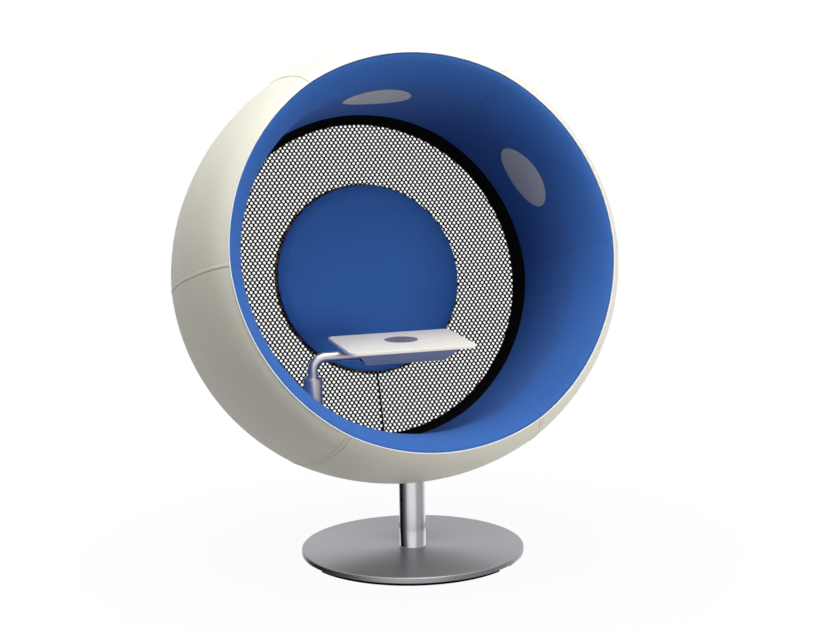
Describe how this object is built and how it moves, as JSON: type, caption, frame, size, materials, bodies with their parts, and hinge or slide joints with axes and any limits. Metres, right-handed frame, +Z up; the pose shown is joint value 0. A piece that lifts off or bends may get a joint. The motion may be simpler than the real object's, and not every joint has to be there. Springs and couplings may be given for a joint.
{
  "type": "pod chair",
  "caption": "Padded barrel-shaped lounge pod on a turning steel column and round plate, with flush speaker grilles, a perforated net back with a round pad, and a small table on a swinging arm.",
  "frame": {"origin": "on the floor, under the middle of the whole chair's box; the swivel axis stands 142 mm in front of it, towards -Y", "axes": "+Z up, the pod opens towards -Y, +X is to the right when looking into the opening"},
  "size_m": [1.4996, 1.0476, 1.744],
  "materials": {
    "plate_steel": "brushed",
    "rubber": "matt",
    "frame_steel": "satin",
    "satin_steel": "satin",
    "bronze": "machined",
    "plywood": "sanded",
    "cover_leather": "fine grain, matt",
    "piping": "matt",
    "lining_cloth": "smooth cloth",
    "pad_cloth": "smooth cloth",
    "black_ring": "satin",
    "net_black": "perforated",
    "grille_cloth": "fine mesh",
    "black_plastic": "matt",
    "table_cream": "satin",
    "table_metal": "satin"
  },
  "bodies": {
    "base": {"base_plate": "plate_steel", "base_foot_1": "rubber", "base_foot_2": "rubber", "base_foot_3": "rubber", "spindle": "frame_steel", "spindle_bolt": "satin_steel"},
    "pod": {"column_tube": "satin_steel", "lower_bearing": "bronze", "upper_bearing": "bronze", "thrust_bearing": "bronze", "column_plug": "frame_steel", "cradle_hub": "frame_steel", "cradle_plate": "frame_steel", "front_hoop": "frame_steel", "rear_hoop": "frame_steel", "frame_rib_1": "plywood", "frame_rib_2": "plywood", "frame_rib_3": "plywood", "frame_rib_4": "plywood", "frame_rib_5": "plywood", "frame_rib_6": "plywood", "cover_panel_1": "cover_leather", "cover_panel_2": "cover_leather", "cover_panel_3": "cover_leather", "cover_panel_4": "cover_leather", "cover_panel_5": "cover_leather", "cover_panel_6": "cover_leather", "lining_panel_1": "lining_cloth", "lining_panel_2": "lining_cloth", "lining_panel_3": "lining_cloth", "lining_panel_4": "lining_cloth", "lining_panel_5": "lining_cloth", "lining_panel_6": "lining_cloth", "front_piping": "piping", "rear_cover": "cover_leather", "back_ring": "black_ring", "net_clamp_ring": "black_ring", "back_net": "net_black", "back_pad": "pad_cloth", "back_board": "plywood", "pad_driver": "black_plastic", "pad_lead": "black_plastic", "speaker_grille_right": "grille_cloth", "speaker_grille_top": "grille_cloth", "speaker_grille_left": "grille_cloth", "speaker_right": "black_plastic", "speaker_top": "black_plastic", "speaker_left": "black_plastic", "amplifier": "black_plastic", "power_inlet": "black_plastic", "arm_sleeve": "satin_steel", "sleeve_collar": "satin_steel"},
    "table_lift": {"lift_piston": "black_plastic"},
    "table_arm": {"arm_tube": "satin_steel", "arm_end_plug": "black_plastic"},
    "table": {"table_top": "table_cream", "table_disc": "table_metal", "table_housing": "satin_steel", "tilt_block_left": "black_plastic", "tilt_block_right": "black_plastic"}
  },
  "joints": [
    {"name": "pod_swivel", "type": "hinge", "parent": "base", "child": "pod", "pos_m": [0, -0.14184, 0.3], "axis": [0, 0, 1], "continuous": true},
    {"name": "table_lift", "type": "slide", "parent": "pod", "child": "table_lift", "axis": [0, 0, 1], "range_m": [-0.018, 0.06]},
    {"name": "arm_swing", "type": "hinge", "parent": "table_lift", "child": "table_arm", "pos_m": [-0.35244, -0.16684, 0.709], "axis": [0, 0, 1], "range_deg": [-70, 10]},
    {"name": "table_tilt", "type": "hinge", "parent": "table_arm", "child": "table", "pos_m": [-0.35244, -0.16684, 0.721], "axis": [-0.9986, 0.0523, 0], "range_deg": [-5, 25]}
  ]
}
